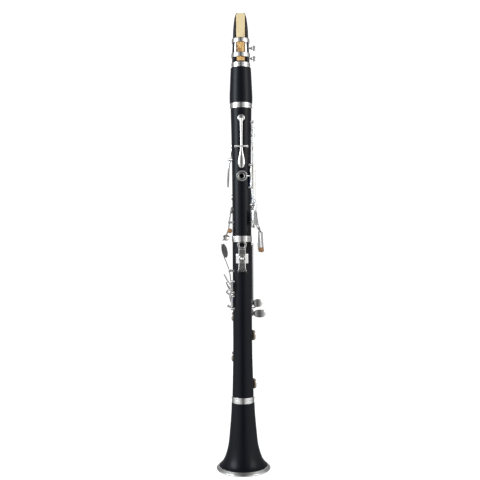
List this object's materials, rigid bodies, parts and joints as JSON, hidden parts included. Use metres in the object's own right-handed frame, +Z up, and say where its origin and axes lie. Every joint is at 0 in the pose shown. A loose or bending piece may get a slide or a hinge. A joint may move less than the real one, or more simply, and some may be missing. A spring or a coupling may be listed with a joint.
{
  "type": "clarinet",
  "caption": "Single-reed woodwind with a black wooden body, flared bell, silver-plated keywork with finger rings, and a sliding barrel; stands on its bell.",
  "frame": {"origin": "centre of the bell's rim, in the plane that the clarinet stands on", "axes": "+Z up the bore to the mouthpiece's tip, -Y the reed and thumb side, +X the player's right"},
  "size_m": [0.0788, 0.0788, 0.666],
  "materials": {
    "silver_plate": "polished silver plate",
    "wood": "satin black hardwood",
    "ebonite": "polished hard rubber",
    "cane": "natural cane",
    "cork": "natural cork",
    "spring_steel": "polished steel",
    "pad_skin": "stretched skin"
  },
  "bodies": {
    "joints_and_bell": {"upper_joint": "wood", "lower_joint": "wood", "lower_joint_ring": "silver_plate", "tenon_corks": "cork", "thumb_and_register_tubes": "silver_plate", "upper_posts": "silver_plate", "lower_posts": "silver_plate", "hinge_rods": "spring_steel", "needle_springs": "spring_steel", "bell": "wood", "bell_rings": "silver_plate", "thumb_rest_plate": "silver_plate"},
    "barrel_and_mouthpiece": {"barrel": "wood", "barrel_rings": "silver_plate", "mouthpiece": "ebonite", "mouthpiece_cork": "cork", "reed": "cane", "ligature": "silver_plate"},
    "ligature_screw_upper": {"ligature_screw_upper": "silver_plate"},
    "ligature_screw_lower": {"ligature_screw_lower": "silver_plate"},
    "thumb_rest_hook": {"thumb_rest_hook": "silver_plate"},
    "thumb_rest_screw": {"thumb_rest_screw": "silver_plate"},
    "register_key": {"register_key": "silver_plate", "register_pad": "pad_skin"},
    "thumb_ring_key": {"thumb_ring_key": "silver_plate"},
    "throat_a_key": {"throat_a_key": "silver_plate", "throat_a_pad": "pad_skin"},
    "throat_g_sharp_key": {"throat_g_sharp_key": "silver_plate", "throat_g_sharp_pad": "pad_skin"},
    "index_ring_key": {"index_ring_key": "silver_plate", "index_ring_pad": "pad_skin"},
    "middle_ring_key": {"middle_ring_key": "silver_plate", "middle_ring_pad": "pad_skin"},
    "left_sliver_key": {"left_sliver_key": "silver_plate", "left_sliver_pad": "pad_skin"},
    "c_sharp_key": {"c_sharp_key": "silver_plate", "c_sharp_pad": "pad_skin"},
    "side_key_1": {"side_key_1": "silver_plate", "side_pad_1": "pad_skin"},
    "side_key_2": {"side_key_2": "silver_plate", "side_pad_2": "pad_skin"},
    "side_key_3": {"side_key_3": "silver_plate", "side_pad_3": "pad_skin"},
    "side_key_4": {"side_key_4": "silver_plate", "side_pad_4": "pad_skin"},
    "right_ring_key": {"right_ring_key": "silver_plate", "right_ring_pad": "pad_skin"},
    "right_sliver_key": {"right_sliver_key": "silver_plate", "right_sliver_pad": "pad_skin"},
    "a_flat_key": {"a_flat_key": "silver_plate", "a_flat_pad": "pad_skin"},
    "f_sharp_key": {"f_sharp_key": "silver_plate", "f_sharp_pad": "pad_skin"},
    "e_b_key": {"e_b_key": "silver_plate", "e_b_pad": "pad_skin"},
    "f_c_key": {"f_c_key": "silver_plate", "f_c_pad": "pad_skin"},
    "f_sharp_lever": {"f_sharp_lever": "silver_plate"},
    "e_b_lever": {"e_b_lever": "silver_plate"},
    "f_c_lever": {"f_c_lever": "silver_plate"}
  },
  "joints": [
    {"name": "register_key_turn", "type": "hinge", "parent": "joints_and_bell", "child": "register_key", "pos_m": [0, -0.0178, 0.4706], "axis": [1, 0, 0], "range_deg": [0, 5], "stiffness_Nm_per_rad": 0.01, "springref_deg": -17.19},
    {"name": "thumb_ring_key_turn", "type": "hinge", "parent": "joints_and_bell", "child": "thumb_ring_key", "pos_m": [0.01403, -0.01096, 0.428], "axis": [0, 0, -1], "range_deg": [0, 5], "stiffness_Nm_per_rad": 0.01, "springref_deg": -17.19},
    {"name": "throat_a_key_turn", "type": "hinge", "parent": "joints_and_bell", "child": "throat_a_key", "pos_m": [0, 0.0178, 0.474], "axis": [-1, 0, 0], "range_deg": [0, 4], "stiffness_Nm_per_rad": 0.01, "springref_deg": -17.19},
    {"name": "throat_g_sharp_key_turn", "type": "hinge", "parent": "joints_and_bell", "child": "throat_g_sharp_key", "pos_m": [-0.01626, 0.00724, 0.453], "axis": [-0.4067, -0.9135, 0], "range_deg": [0, 4], "stiffness_Nm_per_rad": 0.01, "springref_deg": -17.19},
    {"name": "index_ring_key_turn", "type": "hinge", "parent": "joints_and_bell", "child": "index_ring_key", "pos_m": [0.00964, 0.01543, 0.4465], "axis": [0, 0, 1], "range_deg": [0, 6], "stiffness_Nm_per_rad": 0.01, "springref_deg": -17.19},
    {"name": "middle_ring_key_turn", "type": "hinge", "parent": "joints_and_bell", "child": "middle_ring_key", "pos_m": [0.00964, 0.01543, 0.385], "axis": [0, 0, 1], "range_deg": [0, 6], "stiffness_Nm_per_rad": 0.01, "springref_deg": -17.19},
    {"name": "left_sliver_key_turn", "type": "hinge", "parent": "joints_and_bell", "child": "left_sliver_key", "pos_m": [-0.01144, 0.01364, 0.3905], "axis": [0, 0, -1], "range_deg": [0, 7], "stiffness_Nm_per_rad": 0.01, "springref_deg": -17.19},
    {"name": "c_sharp_key_turn", "type": "hinge", "parent": "joints_and_bell", "child": "c_sharp_key", "pos_m": [-0.01763, 0.00248, 0.361], "axis": [-0.1392, -0.9903, 0], "range_deg": [0, 4.5], "stiffness_Nm_per_rad": 0.01, "springref_deg": -17.19},
    {"name": "side_key_1_turn", "type": "hinge", "parent": "joints_and_bell", "child": "side_key_1", "pos_m": [0.01699, -0.00757, 0.447], "axis": [0, 0, -1], "range_deg": [0, 7], "stiffness_Nm_per_rad": 0.01, "springref_deg": -17.19},
    {"name": "side_key_2_turn", "type": "hinge", "parent": "joints_and_bell", "child": "side_key_2", "pos_m": [0.01832, -0.00323, 0.4345], "axis": [0, 0, -1], "range_deg": [0, 7], "stiffness_Nm_per_rad": 0.01, "springref_deg": -17.19},
    {"name": "side_key_3_turn", "type": "hinge", "parent": "joints_and_bell", "child": "side_key_3", "pos_m": [0.01855, 0.0013, 0.399], "axis": [0, 0, -1], "range_deg": [0, 7], "stiffness_Nm_per_rad": 0.01, "springref_deg": -17.19},
    {"name": "side_key_4_turn", "type": "hinge", "parent": "joints_and_bell", "child": "side_key_4", "pos_m": [0.01769, 0.00575, 0.3755], "axis": [0, 0, -1], "range_deg": [0, 7], "stiffness_Nm_per_rad": 0.01, "springref_deg": -17.19},
    {"name": "right_ring_key_turn", "type": "hinge", "parent": "joints_and_bell", "child": "right_ring_key", "pos_m": [0.01537, 0.01117, 0.286], "axis": [0, 0, 1], "range_deg": [0, 4], "stiffness_Nm_per_rad": 0.01, "springref_deg": -17.19},
    {"name": "right_sliver_key_turn", "type": "hinge", "parent": "joints_and_bell", "child": "right_sliver_key", "pos_m": [-0.01144, 0.01364, 0.271], "axis": [0, 0, -1], "range_deg": [0, 7], "stiffness_Nm_per_rad": 0.01, "springref_deg": -17.19},
    {"name": "a_flat_key_turn", "type": "hinge", "parent": "joints_and_bell", "child": "a_flat_key", "pos_m": [-0.0058, 0.01683, 0.2255], "axis": [0, 0, -1], "range_deg": [0, 7], "stiffness_Nm_per_rad": 0.01, "springref_deg": -17.19},
    {"name": "f_sharp_key_turn", "type": "hinge", "parent": "joints_and_bell", "child": "f_sharp_key", "pos_m": [-0.00093, 0.01778, 0.198], "axis": [0, 0, -1], "range_deg": [0, 7], "stiffness_Nm_per_rad": 0.01, "springref_deg": -17.19},
    {"name": "e_b_key_turn", "type": "hinge", "parent": "joints_and_bell", "child": "e_b_key", "pos_m": [0.004, 0.01734, 0.1765], "axis": [0, 0, -1], "range_deg": [0, 9], "stiffness_Nm_per_rad": 0.01, "springref_deg": -17.19},
    {"name": "f_c_key_turn", "type": "hinge", "parent": "joints_and_bell", "child": "f_c_key", "pos_m": [0.00863, 0.01557, 0.2065], "axis": [0, 0, -1], "range_deg": [0, 9], "stiffness_Nm_per_rad": 0.01, "springref_deg": -17.19},
    {"name": "f_sharp_lever_turn", "type": "hinge", "parent": "joints_and_bell", "child": "f_sharp_lever", "pos_m": [-0.01796, 0.00126, 0.29], "axis": [0.0698, 0.9976, 0], "range_deg": [0, 3.5]},
    {"name": "e_b_lever_turn", "type": "hinge", "parent": "joints_and_bell", "child": "e_b_lever", "pos_m": [-0.01542, -0.0089, 0.2663], "axis": [0, 0, -1], "range_deg": [0, 9]},
    {"name": "f_c_lever_turn", "type": "hinge", "parent": "joints_and_bell", "child": "f_c_lever", "pos_m": [-0.01542, -0.0089, 0.2438], "axis": [0, 0, -1], "range_deg": [0, 9]},
    {"name": "barrel_slide", "type": "slide", "parent": "joints_and_bell", "child": "barrel_and_mouthpiece", "axis": [0, 0, 1], "range_m": [0, 0.003]},
    {"name": "ligature_screw_upper_turn", "type": "hinge", "parent": "barrel_and_mouthpiece", "child": "ligature_screw_upper", "pos_m": [0.01, 0.0162, 0.621], "axis": [1, 0, 0], "range_deg": [0, 360]},
    {"name": "ligature_screw_lower_turn", "type": "hinge", "parent": "barrel_and_mouthpiece", "child": "ligature_screw_lower", "pos_m": [0.01, 0.0162, 0.6055], "axis": [1, 0, 0], "range_deg": [0, 360]},
    {"name": "thumb_rest_slide", "type": "slide", "parent": "joints_and_bell", "child": "thumb_rest_hook", "axis": [0, 0, 1], "range_m": [-0.0025, 0.0025]},
    {"name": "thumb_rest_screw_turn", "type": "hinge", "parent": "thumb_rest_hook", "child": "thumb_rest_screw", "pos_m": [0, -0.018, 0.308], "axis": [0, -1, 0], "range_deg": [0, 270]}
  ],
  "couplings": [
    {"joint": "f_sharp_lever_turn", "follows": "f_sharp_key_turn", "ratio": 0.5},
    {"joint": "e_b_lever_turn", "follows": "e_b_key_turn", "ratio": 1},
    {"joint": "f_c_lever_turn", "follows": "f_c_key_turn", "ratio": 1}
  ]
}
